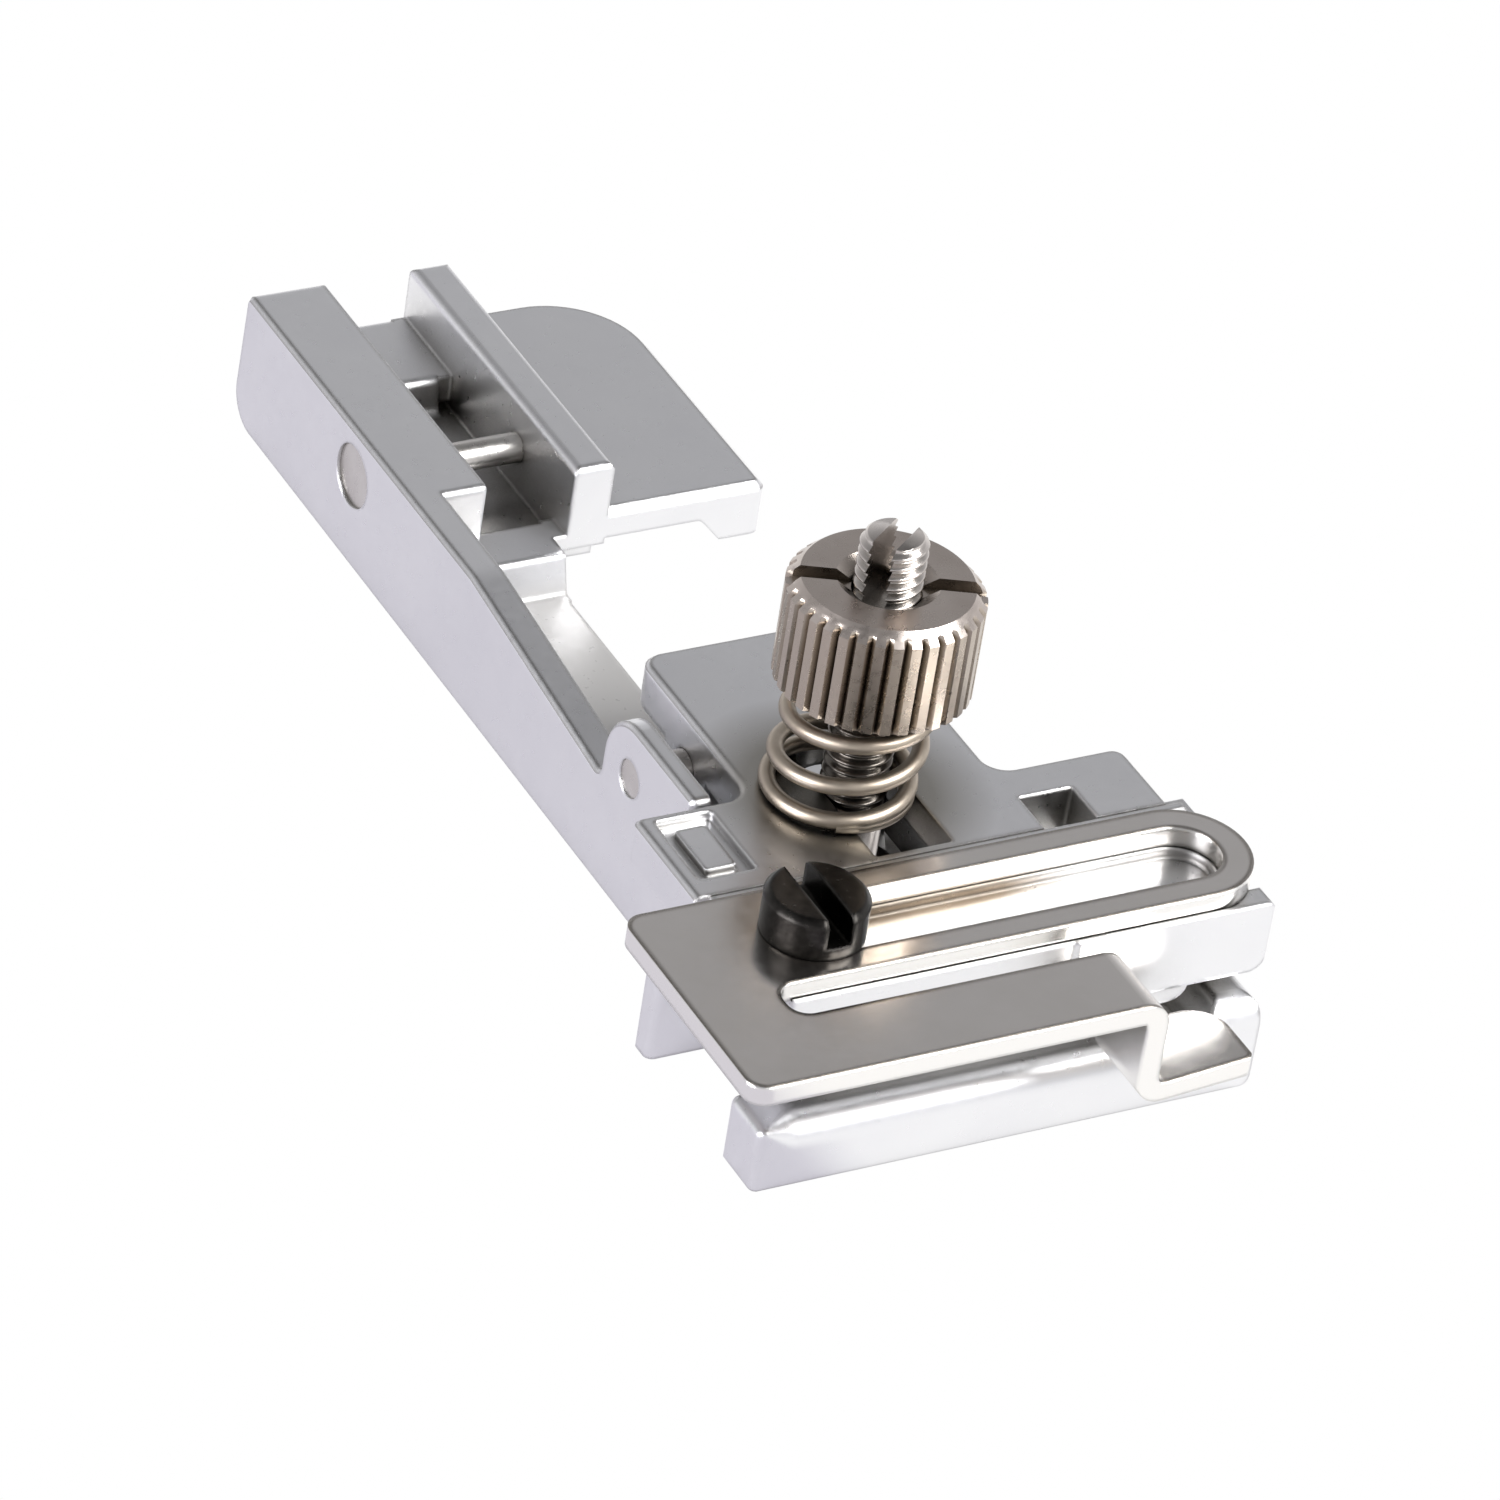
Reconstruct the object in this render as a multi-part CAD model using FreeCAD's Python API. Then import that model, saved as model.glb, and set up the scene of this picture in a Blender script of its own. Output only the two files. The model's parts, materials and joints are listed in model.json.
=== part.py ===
"""Elastic-gathering presser foot for an overlock sewing machine.

One cast foot carries a spring-loaded lever on a hinge pin. A knurled nut on a
threaded stud sets the spring. A bent sheet guide slides across the lever and is
locked by a slotted screw.

Millimetres. X runs across the foot and is measured here from the outer face of
the long rail. Y is 0 at the snap bar and positive to the rear. Z is 0 at the sole.
The last function moves every piece so that X is 0 in the middle of the snap channel.
"""
import FreeCAD, Part
import os
import math

os.makedirs("parts", exist_ok=True)

# Fits between pieces
running_gap = 0.03
slide_gap = 0.05
seat_gap = 0.02

# Broken edges of the castings
edge_ease = 0.2

# Main sizes: snap bar to hinge line, and outer face of the rail to the right end of the bar
hinge_distance = 26.83
bar_right = 20.25
hinge_y = -hinge_distance

# Rail and rear block of the cast foot
rail_width = 1.56
rail_top = 6.7
rail_edge_round = 0.4
rear_y = 11.6
rear_foot_y = 11.9
rear_heel_round = 1.9
rear_front_y = -5.45
rail_slope_start_y = -11.5
rail_slope_end_z = 5.1
base_front_y = hinge_y - 10.37

# Snap channel
channel_left = 3.75
channel_width = 4.45
channel_floor = 4.05
pocket_rear_y = 6.5
pocket_front_y = -3.8
pocket_floor = 2.4
plateau_z = 3.2
plateau_front_y = -6.7
ramp_foot_y = -7.3
right_wall_width = 1.95
base_right = 7.5
snap_bar_z = 4.41
snap_bar_radius = 0.7
snap_head_radius = 1.5
snap_head_length = 2.2

# Rear wing
wing_right = 18.2
wing_rear_y = 10.95
wing_top = 4.15
wing_bottom = 2.7
wing_lip_left = 15.5
wing_lip_bottom = 1.45
wing_corner_round = 4.5

# Floor strip beside the needle and plate under the lever
strip_right = 7.4
strip_top = 1.4
plate_rear_y = hinge_y + 3.83
plate_right = 13.5
plate_top = 1.6

# Hinge
hinge_z = 6.56
hinge_pin_radius = 0.875
ear_width = 0.9
ear_round = 2.45
ear_front_y = hinge_y - 5.25
shelf_under_lever = 6.1
lug_left = 10.5
lug_width = 1.6
lug_round = 1.5

# Cross wall, side links and front bar
cross_wall_rear_y = hinge_y - 8.57
cross_wall_top = 3.0
tab_left = -3.5
tab_rear_y = hinge_y - 9.17
link_width = 2.2
link_right = bar_right - 0.55
link_right_inner = bar_right - 3.75
link_top = 2.0
bar_left = -3.55
bar_front_y = hinge_y - 19.92
bar_rear_y = hinge_y - 17.12
bar_top = 3.3
bar_front_round = 1.25
bar_toe_round = 0.45
bar_end = 1.9
horn_left = bar_right - 2.05
horn_top = 4.6

# Pressure lever
deck_top = 9.0
deck_bottom = 6.4
lever_left = 2.63
lever_right = 13.5
lever_rear_y = hinge_y + 5.03
panel_left = -2.95
panel_rear_y = hinge_y - 5.47
wing_arm_right = bar_right - 0.55
wing_arm_rear_y = hinge_y - 7.02
deck_front_y = hinge_y - 11.27
deck_skin = 1.6
cheek_width = 1.75
hub_round = 1.9
stud_slot_left = 5.7
stud_slot_right = 9.4
stud_slot_rear_y = hinge_y - 2.47
stud_slot_front_y = hinge_y - 10.97
window_left = 13.6
window_right = 16.2
window_rear_y = hinge_y - 9.02
recess_left = -2.2
recess_right = 0.5
recess_rear_y = hinge_y - 5.97
recess_front_y = hinge_y - 10.17
recess_depth = 0.4
mark_left = -1.6
mark_right = -0.1
mark_rear_y = hinge_y - 6.67
mark_front_y = hinge_y - 9.57
mark_height = 0.3
shelf_left = -2.3
shelf_right = bar_right + 0.35
shelf_corner_round = 0.85
fence_right_width = 0.25
fence_left_width = 0.1
shelf_step_x = 11.1
shelf_top = 8.9
shelf_bottom = 5.55
fence_top = 9.05
pad_left = -1.6
pad_right = bar_right - 3.05
pad_rear_y = hinge_y - 13.67
pad_bottom = 4.3
rim_rear_y = hinge_y - 11.27
rim_width = 0.55
rim_right = bar_right + 0.05
groove_floor = 8.4

# Stud, spring and nut
stud_x = 7.3
stud_y = hinge_y - 5.97
stud_radius = 1.475
stud_boss_radius = 2.7
stud_boss_top = 4.4
stud_slot_width = 1.05
stud_slot_depth = 3.0
stud_slot_angle = 35.0
nut_radius = 4.25
spring_length = 5.22
nut_bottom = deck_top + spring_length
nut_top = nut_bottom + 5.2
stud_top = nut_top + 2.28
nut_ribs = 34
nut_groove_depth = 0.33
nut_groove_angle = -26.0
nut_groove_width = 0.85
nut_groove_cut = 0.55
nut_chamfer = 0.55
nut_recess_radius = 2.2
nut_recess_depth = 0.5
wire_radius = 0.37
spring_radius = 3.52
spring_shift_x = -0.36
spring_shift_y = -0.06
spring_start_angle = -118.0
spring_steps = 18
spring_sides = 12
# Turn number and share of the free height: ground end turns, then a wider pitch between them
spring_levels = [(0.0, -0.10), (0.8, 0.0), (2.0, 0.422), (2.8, 0.835), (3.75, 1.0), (4.2, 1.08)]

# Sheet guide
sheet = 0.95
guide_left = -7.24
guide_rear_y = hinge_y - 12.57
guide_front_y = hinge_y - 24.57
guide_round = 0.9
arm_front_y = hinge_y - 18.62
arm_right = bar_right + 0.5
notch_left = -3.3
strip_rear_y = hinge_y - 20.72
strip_bend_x = 12.2
flange_right = 16.8
flange_top = 5.6
flange_rise = 0.4
flange_round = 1.7
bend_round = 1.2
slot_left_x = 0.3
slot_right_x = arm_right - 3.1
slot_half = 1.78
screw_x = 0.1
screw_head_radius = 2.25
screw_head_height = 1.9
screw_radius = 1.25
screw_slot_width = 1.15
screw_slot_depth = 1.35

# Values that follow from the ones above
channel_right = channel_left + channel_width
channel_middle = channel_left + channel_width / 2
wall_right = channel_right + right_wall_width
guide_bottom = shelf_top + slide_gap
shelf_front_y = arm_front_y - slide_gap - fence_right_width
shelf_left_front_y = arm_front_y - slide_gap - fence_left_width
guide_top = guide_bottom + sheet
slot_y = (guide_rear_y + arm_front_y) / 2
arm_half = (guide_rear_y - arm_front_y) / 2
screw_seat = guide_top + seat_gap


def at(x, y, z):
    return FreeCAD.Vector(x, y, z)


def box(x_pair, y_pair, z_pair):
    size = [abs(pair[1] - pair[0]) for pair in (x_pair, y_pair, z_pair)]
    return Part.makeBox(size[0], size[1], size[2], at(min(x_pair), min(y_pair), min(z_pair)))


def rod(radius, start, end):
    return Part.makeCylinder(radius, (end - start).Length, start, end - start)


def rounded_outline(corners, place):
    """Closed wire through (a, b, radius) corners, each corner turned into an arc."""
    ends = []
    arcs = []
    count = len(corners)
    for index in range(count):
        a, b, radius = corners[index]
        here = at(a, b, 0)
        before = at(*corners[index - 1][:2], 0) - here
        after = at(*corners[(index + 1) % count][:2], 0) - here
        before.normalize()
        after.normalize()
        if radius == 0:
            ends.append((here, here))
            arcs.append(None)
            continue
        half = before.getAngle(after) / 2
        reach = radius / math.tan(half)
        middle = before + after
        middle.normalize()
        start = here + before * reach
        end = here + after * reach
        ends.append((start, end))
        arcs.append(here + middle * (radius / math.sin(half) - radius))
    edges = []
    for index in range(count):
        start, end = ends[index]
        if arcs[index] is not None:
            edges.append(Part.Arc(place(start), place(arcs[index]), place(end)).toShape())
        following = ends[(index + 1) % count][0]
        if (following - end).Length > 1e-6:
            edges.append(Part.makeLine(place(end), place(following)))
    return Part.Wire(edges)


def side_prism(corners, x_pair):
    """Extrudes a (y, z) outline across the foot."""
    wire = rounded_outline(corners, lambda p: at(x_pair[0], p.x, p.y))
    return Part.Face(wire).extrude(at(x_pair[1] - x_pair[0], 0, 0))


def front_prism(corners, y_pair):
    """Extrudes an (x, z) outline along the foot."""
    wire = rounded_outline(corners, lambda p: at(p.x, y_pair[0], p.y))
    return Part.Face(wire).extrude(at(0, y_pair[1] - y_pair[0], 0))


def plan_prism(corners, z_pair):
    """Extrudes an (x, y) outline upwards."""
    wire = rounded_outline(corners, lambda p: at(p.x, p.y, z_pair[0]))
    return Part.Face(wire).extrude(at(0, 0, z_pair[1] - z_pair[0]))


def edges_inside(shape, x_pair, y_pair, z_pair):
    """Edges that lie wholly inside the given ranges."""
    slack = 0.02
    chosen = []
    for edge in shape.Edges:
        bounds = edge.BoundBox
        inside_x = bounds.XMin > min(x_pair) - slack and bounds.XMax < max(x_pair) + slack
        inside_y = bounds.YMin > min(y_pair) - slack and bounds.YMax < max(y_pair) + slack
        inside_z = bounds.ZMin > min(z_pair) - slack and bounds.ZMax < max(z_pair) + slack
        if inside_x and inside_y and inside_z:
            chosen.append(edge)
    return chosen


def rounded(shape, radius, x_pair, y_pair, z_pair):
    return shape.makeFillet(radius, edges_inside(shape, x_pair, y_pair, z_pair))


def bevelled(shape, size, x_pair, y_pair, z_pair):
    return shape.makeChamfer(size, edges_inside(shape, x_pair, y_pair, z_pair))


def joined(shapes):
    return shapes[0].fuse(shapes[1:]).removeSplitter()


def foot_side():
    """Outer skin of the rail with the hinge ear, all flush on the outer face."""
    slope_foot_y = hinge_y + ear_round
    outline = [
        (rear_foot_y, 0, rear_heel_round),
        (rear_y, rail_top, rail_edge_round),
        (rail_slope_start_y, rail_top, 6.0),
        (slope_foot_y, rail_slope_end_z, 0.4),
        (slope_foot_y, hinge_z + ear_round, ear_round - 0.01),
        (ear_front_y, hinge_z + ear_round, 0.3),
        (ear_front_y, shelf_under_lever, 0.3),
        (base_front_y, shelf_under_lever, 0),
        (base_front_y, 0, 0),
    ]
    skin = side_prism(outline, (0, ear_width))
    skin = bevelled(skin, edge_ease, (0, 0), (ear_front_y - 0.3, rear_foot_y), (0.05, hinge_z + ear_round))
    inner_outline = [
        (rear_foot_y, 0, rear_heel_round),
        (rear_y, rail_top, rail_edge_round),
        (rail_slope_start_y, rail_top, 6.0),
        (slope_foot_y, rail_slope_end_z, 0),
        (ear_front_y, 4.2, 0),
        (base_front_y, 4.2, 0),
        (base_front_y, 0, 0),
    ]
    return joined([skin, side_prism(inner_outline, (ear_width, rail_width))])


def rear_block():
    """Rear end: left block, channel floor, right wall and the step down to the needle."""
    left = side_prism([
        (rear_foot_y, 0, rear_heel_round),
        (rear_y, rail_top, rail_edge_round),
        (rear_front_y, rail_top, 0.3),
        (rear_front_y, 0, 0),
    ], (rail_width / 2, channel_left))
    floor = side_prism([
        (rear_foot_y, 0, rear_heel_round),
        (rear_y, channel_floor, 0.4),
        (pocket_rear_y, channel_floor, 0.4),
        (pocket_rear_y - 0.4, pocket_floor, 0.5),
        (pocket_front_y, pocket_floor, 0.3),
        (pocket_front_y - 0.3, plateau_z, 0.3),
        (plateau_front_y, plateau_z, 0.3),
        (ramp_foot_y, strip_top, 0.3),
        (ramp_foot_y - 0.5, strip_top, 0),
        (ramp_foot_y - 0.5, 0, 0),
    ], (0.5, base_right))
    tray = box((base_right, wall_right), (pocket_front_y - 0.6, pocket_rear_y + 0.6), (1.2, pocket_floor))
    shelf = box((base_right, wall_right), (pocket_rear_y, rear_y - 0.1), (wing_bottom, channel_floor))
    lead = box((base_right, wall_right), (rear_front_y, pocket_front_y - 0.2), (wing_bottom - 0.3, plateau_z))
    wall = box((channel_right, wall_right), (rear_front_y, rear_y), (wing_bottom - 0.3, rail_top))
    wall = rounded(wall, 0.35, (channel_right, wall_right), (rear_front_y, rear_y), (rail_top, rail_top))
    return [left, floor, tray, shelf, lead, wall]


def rear_wing():
    """Flat wing to the right with a thick rounded lip along its outer edge."""
    plan = [
        (wall_right - 0.8, rear_front_y, 0),
        (wing_right, rear_front_y, 0.5),
        (wing_right, wing_rear_y, wing_corner_round),
        (wall_right - 0.8, wing_rear_y, 0),
    ]
    body = plan_prism(plan, (wing_lip_bottom, wing_top))
    edge = wing_right - 0.01
    behind_front = (rear_front_y + 0.1, wing_rear_y)
    body = bevelled(body, 0.35, (wall_right, edge + 0.1), behind_front, (wing_top, wing_top))
    hollow = front_prism([
        (wall_right - 1.2, wing_bottom, 0),
        (wing_lip_left - 0.5, wing_bottom, 0.5),
        (wing_lip_left + 0.6, wing_lip_bottom, 0),
        (wing_lip_left + 0.6, wing_lip_bottom - 1, 0),
        (wall_right - 1.2, wing_lip_bottom - 1, 0),
    ], (rear_front_y - 1, wing_rear_y + 1))
    return body.cut(hollow)


def lever_base():
    """Floor strip, plate under the lever, hinge lug, stud boss and cross wall."""
    strip = box((rail_width - 0.3, strip_right), (plate_rear_y - 1, ramp_foot_y - 0.2), (0, strip_top))
    plate = plan_prism([
        (0.5, plate_rear_y, 0),
        (strip_right, plate_rear_y, 0),
        (plate_right, plate_rear_y - 1.5, 0.8),
        (plate_right, base_front_y, 0),
        (0.5, base_front_y, 0),
    ], (0, plate_top))
    boss = rod(stud_boss_radius, at(stud_x, stud_y, 0.5), at(stud_x, stud_y, stud_boss_top))
    lug_rear_y = hinge_y + lug_round
    lug_front_y = hinge_y - lug_round
    lug = side_prism([
        (lug_rear_y + 0.8, plate_top - 0.4, 0),
        (lug_rear_y, plate_top + 1.2, 0.8),
        (lug_rear_y, hinge_z + lug_round, lug_round - 0.01),
        (lug_front_y, hinge_z + lug_round, lug_round - 0.01),
        (lug_front_y, plate_top + 1.2, 0.8),
        (lug_front_y - 0.8, plate_top - 0.4, 0),
    ], (lug_left, lug_left + lug_width))
    wall = box((0.5, link_right), (base_front_y, cross_wall_rear_y), (0, cross_wall_top))
    tab = plan_prism([
        (tab_left, base_front_y, 0.4),
        (1.5, base_front_y, 0),
        (1.5, tab_rear_y, 0),
        (tab_left, tab_rear_y, 0.2),
    ], (0, shelf_under_lever))
    return [strip, plate, boss, lug, wall, tab]


def bar_profile(top, top_round, x_pair):
    """Side outline of the front bar, swept across the foot."""
    return side_prism([
        (bar_rear_y, 0, 0),
        (bar_rear_y, top, 0.3),
        (bar_front_y, top, top_round),
        (bar_front_y, 0, bar_toe_round),
    ], x_pair)


def front_bar():
    """Bar that the elastic runs over, with its side links, square left end and raised right horn."""
    bar = bar_profile(bar_top, bar_front_round, (bar_left + bar_end, horn_left))
    end = bar_profile(bar_top, 0, (bar_left, bar_left + bar_end))
    across = (bar_left, bar_left + bar_end)
    front_edge = edges_inside(end, across, (bar_front_y, bar_front_y), (bar_top, bar_top))
    end = end.makeFillet(0.05, bar_front_round, front_edge)
    end = rounded(end, 0.4, (bar_left, bar_left), (bar_front_y, bar_rear_y), (0, bar_toe_round))
    horn = front_prism([
        (horn_left - 2.0, bar_top - 2.0, 0),
        (horn_left - 1.4, bar_top - 0.1, 0.8),
        (horn_left - 0.7, bar_top + 0.1, 0.7),
        (horn_left + 0.1, horn_top, 0.5),
        (bar_right, horn_top, 0.6),
        (bar_right, 0, 0.8),
        (horn_left - 2.0, 0, 0),
    ], (bar_front_y, bar_rear_y))
    horn = horn.common(bar_profile(horn_top, bar_front_round, (horn_left - 2.0, bar_right)))
    left = box((0.5, link_width), (bar_rear_y - 0.5, base_front_y + 0.5), (0, link_top))
    right = box((link_right_inner, link_right), (bar_rear_y - 0.5, base_front_y + 0.5), (0, link_top))
    return [bar, end, horn, left, right]


def foot_frame():
    casting = joined([foot_side()] + rear_block() + [rear_wing()] + lever_base() + front_bar())
    casting = casting.cut(rod(snap_head_radius, at(-1, 0, snap_bar_z), at(snap_head_length, 0, snap_bar_z)))
    casting = casting.cut(rod(snap_bar_radius, at(0, 0, snap_bar_z), at(wall_right - 0.4, 0, snap_bar_z)))
    casting = casting.cut(rod(hinge_pin_radius, at(-1, hinge_y, hinge_z), at(lug_left + 3, hinge_y, hinge_z)))
    return casting.cut(rod(stud_radius, at(stud_x, stud_y, -1), at(stud_x, stud_y, 10)))


def snap_bar():
    """Stepped pin: thick end in the rail, thin bar across the channel."""
    head = rod(snap_head_radius, at(0.15, 0, snap_bar_z), at(snap_head_length, 0, snap_bar_z))
    bar = rod(snap_bar_radius, at(snap_head_length, 0, snap_bar_z), at(wall_right - 0.4, 0, snap_bar_z))
    return joined([head, bar])


def hinge_pin():
    end = lever_right - 0.2
    return rod(hinge_pin_radius, at(0.08, hinge_y, hinge_z), at(end, hinge_y, hinge_z))


def tension_stud():
    stud = rod(stud_radius, at(stud_x, stud_y, 0.3), at(stud_x, stud_y, stud_top))
    stud = stud.makeChamfer(0.3, [edge for edge in stud.Edges if edge.BoundBox.ZMin > stud_top - 0.01])
    slot = box((-3, 3), (-stud_slot_width / 2, stud_slot_width / 2), (stud_top - stud_slot_depth, stud_top + 1))
    slot.rotate(at(0, 0, 0), at(0, 0, 1), stud_slot_angle)
    slot.translate(at(stud_x, stud_y, 0))
    return stud.cut(slot)


def spring_height(turn):
    """Height of the wire's axis after a number of turns."""
    low = deck_top + seat_gap + wire_radius
    high = nut_bottom - seat_gap - wire_radius
    for (start, below), (end, above) in zip(spring_levels, spring_levels[1:]):
        if turn <= end:
            break
    share = below + (above - below) * (turn - start) / (end - start)
    return low + (high - low) * share


def wire_ring():
    """Cross-section of the wire, standing up beside the coil's axis."""
    corners = []
    for index in range(spring_sides + 1):
        angle = 2 * math.pi * (index + 0.5) / spring_sides
        corners.append(at(spring_radius + wire_radius * math.cos(angle), 0, wire_radius * math.sin(angle)))
    return Part.makePolygon(corners)


def compression_spring():
    """Wire lofted through rings along the coil, with both ends ground flat."""
    rings = []
    turns = spring_levels[-1][0]
    for index in range(int(round(turns * spring_steps)) + 1):
        turn = index / spring_steps
        ring = wire_ring()
        ring.rotate(at(0, 0, 0), at(0, 0, 1), spring_start_angle + 360 * turn)
        ring.translate(at(stud_x + spring_shift_x, stud_y + spring_shift_y, spring_height(turn)))
        rings.append(ring)
    coil = Part.makeLoft(rings, True, True)
    reach = spring_radius + 2
    keep = box((stud_x - reach, stud_x + reach), (stud_y - reach, stud_y + reach),
               (deck_top + seat_gap, nut_bottom - seat_gap))
    return coil.common(keep)


def knurled_outline():
    """Straight knurl: narrow ribs between wide V grooves."""
    points = []
    pitch = 2 * math.pi / nut_ribs
    for index in range(nut_ribs):
        for share, depth in ((0.0, nut_groove_depth), (0.4, 0.0), (0.6, 0.0)):
            angle = (index + share) * pitch
            radius = nut_radius - depth
            points.append(at(radius * math.cos(angle), radius * math.sin(angle), 0))
    points.append(points[0])
    return Part.Face(Part.makePolygon(points))


def turned(profile):
    """Solid of revolution about Z from (radius, z) points."""
    points = [at(radius, 0, z) for radius, z in profile]
    points.append(points[0])
    return Part.Face(Part.makePolygon(points)).revolve(at(0, 0, 0), at(0, 0, 1), 360)


def thumb_nut():
    height = nut_top - nut_bottom
    body = knurled_outline().extrude(at(0, 0, height))
    envelope = turned([
        (0, 0),
        (nut_radius - nut_chamfer, 0),
        (nut_radius, nut_chamfer / 2),
        (nut_radius, height - nut_chamfer),
        (nut_radius - nut_chamfer, height),
        (0, height),
    ])
    body = body.common(envelope)
    bore_radius = stud_radius + running_gap
    body = body.cut(rod(bore_radius, at(0, 0, -5), at(0, 0, height + 1)))
    recess = turned([
        (0, height - nut_recess_depth),
        (bore_radius, height - nut_recess_depth),
        (nut_recess_radius, height),
        (nut_recess_radius, height + 1),
        (0, height + 1),
    ])
    body = body.cut(recess)
    groove = box((-6, 6), (-nut_groove_width / 2, nut_groove_width / 2), (height - nut_groove_cut, height + 1))
    groove.rotate(at(0, 0, 0), at(0, 0, 1), nut_groove_angle)
    body = body.cut(groove)
    body.translate(at(stud_x, stud_y, nut_bottom))
    return body


def lever_deck():
    """Top plate of the lever with the left panel and the right arm."""
    deck = plan_prism([
        (lever_left, lever_rear_y, 1.0),
        (lever_right, lever_rear_y, 1.0),
        (lever_right, wing_arm_rear_y, 1.0),
        (wing_arm_right, wing_arm_rear_y, 0.7),
        (wing_arm_right, deck_front_y, 0),
        (panel_left, deck_front_y, 0),
        (panel_left, panel_rear_y, 0.4),
        (lever_left, panel_rear_y, 1.2),
    ], (deck_bottom, deck_top))
    behind_front = (deck_front_y + 0.5, lever_rear_y)
    deck = bevelled(deck, edge_ease, (panel_left, wing_arm_right), behind_front, (deck_top, deck_top))
    rear_corners = (lever_rear_y - 1.0, lever_rear_y)
    return rounded(deck, 0.8, (lever_left, lever_right), rear_corners, (deck_bottom, deck_bottom))


def pressure_lever():
    cheek_left = (lever_left, lever_left + cheek_width)
    cheek_right = (lug_left + lug_width + 0.15, lever_right)
    solids = [lever_deck()]
    for pair in (cheek_left, cheek_right):
        solids.append(rod(hub_round, at(pair[0], hinge_y, hinge_z), at(pair[1], hinge_y, hinge_z)))
    solids.extend(lever_shelf())
    lever = joined(solids)
    hollow_left = cheek_left[1]
    hollow_right = cheek_right[0]
    lever = lever.cut(box((hollow_left, hollow_right), (deck_front_y + 1.6, lever_rear_y - 1.2),
                          (0, deck_top - deck_skin)))
    lug_side = at(lug_left - 0.15, hinge_y, hinge_z)
    lever = lever.cut(rod(lug_round + 0.15, lug_side, at(hollow_right, hinge_y, hinge_z)))
    slot_width = stud_slot_right - stud_slot_left
    lever = lever.cut(plan_prism([
        (stud_slot_left, stud_slot_rear_y, slot_width / 2 - 0.01),
        (stud_slot_right, stud_slot_rear_y, slot_width / 2 - 0.01),
        (stud_slot_right, stud_slot_front_y, 0.2),
        (stud_slot_left, stud_slot_front_y, 0.2),
    ], (0, deck_top + 1)))
    lever = lever.cut(box((window_left, window_right), (deck_front_y, window_rear_y), (0, deck_top + 1)))
    recess = plan_prism([
        (recess_left, recess_rear_y, 0.2),
        (recess_right, recess_rear_y, 0.2),
        (recess_right, recess_front_y, 0.2),
        (recess_left, recess_front_y, 0.2),
    ], (deck_top - recess_depth, deck_top + 1))
    mark = plan_prism([
        (mark_left, mark_rear_y, 0.2),
        (mark_right, mark_rear_y, 0.2),
        (mark_right, mark_front_y, 0.2),
        (mark_left, mark_front_y, 0.2),
    ], (deck_top - recess_depth - 0.1, deck_top - recess_depth + mark_height))
    lever = lever.cut(recess).fuse(mark)
    groove = slot_solid(slot_left_x, slot_right_x, slot_half - 0.12, (groove_floor, deck_top + 1))
    lever = lever.cut(groove)
    lever = lever.cut(rod(hinge_pin_radius + running_gap, at(0, hinge_y, hinge_z), at(20, hinge_y, hinge_z)))
    screw_foot = at(screw_x, slot_y, shelf_bottom - 2)
    return lever.cut(rod(screw_radius + running_gap, screw_foot, at(screw_x, slot_y, 20)))


def lever_shelf():
    """Front of the lever: seat for the guide, fence, rim and the pad that presses the elastic."""
    right_round = arm_half - 0.1
    body = plan_prism([
        (shelf_left, deck_front_y + 0.2, 0),
        (shelf_right - 0.1, deck_front_y + 0.2, 0),
        (shelf_right - 0.1, arm_front_y, right_round),
        (shelf_left, arm_front_y, 0),
    ], (shelf_bottom, shelf_top))
    fence = plan_prism([
        (shelf_left, arm_front_y - slide_gap, 0),
        (shelf_right, arm_front_y - slide_gap, 0),
        (shelf_right, shelf_front_y, 0.15),
        (shelf_step_x, shelf_front_y, 0.1),
        (shelf_step_x - 0.15, shelf_left_front_y, 0.1),
        (shelf_left, shelf_left_front_y, 0.05),
    ], (shelf_bottom, fence_top))
    wall = box((shelf_left, shelf_right), (arm_front_y - 0.1, arm_front_y + 1.0), (shelf_bottom, shelf_top))
    end = front_prism([
        (shelf_left, shelf_bottom, 0),
        (shelf_right, shelf_bottom, shelf_corner_round),
        (shelf_right, fence_top, 0.4),
        (shelf_left, fence_top, 0),
    ], (shelf_front_y - 1, deck_front_y + 1))
    body = body.common(end)
    fence = fence.common(end)
    wall = wall.common(end)
    rim_depth = (rim_rear_y - rim_width, rim_rear_y)
    rim = box((shelf_left, rim_right), rim_depth, (shelf_top - 0.5, deck_top))
    rim = rounded(rim, 0.15, (shelf_left, rim_right), rim_depth, (deck_top, deck_top))
    pad = front_prism([
        (pad_left, shelf_bottom + 0.3, 0),
        (pad_left, pad_bottom, 0.8),
        (pad_right, pad_bottom, 1.2),
        (pad_right + 0.3, shelf_bottom + 0.3, 0),
    ], (shelf_left_front_y + 0.05, pad_rear_y))
    pad = bevelled(pad, 0.4, (pad_left, pad_right), (shelf_left_front_y, pad_rear_y), (pad_bottom, pad_bottom))
    return [body, fence, wall, rim, pad]


def slot_solid(left_x, right_x, half, z_pair):
    """Upright solid with a stadium outline along the guide's slot line."""
    low = slot_y - half
    high = slot_y + half
    return plan_prism([
        (left_x - half, high, half - 0.01),
        (right_x + half, high, half - 0.01),
        (right_x + half, low, half - 0.01),
        (left_x - half, low, half - 0.01),
    ], z_pair)


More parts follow.
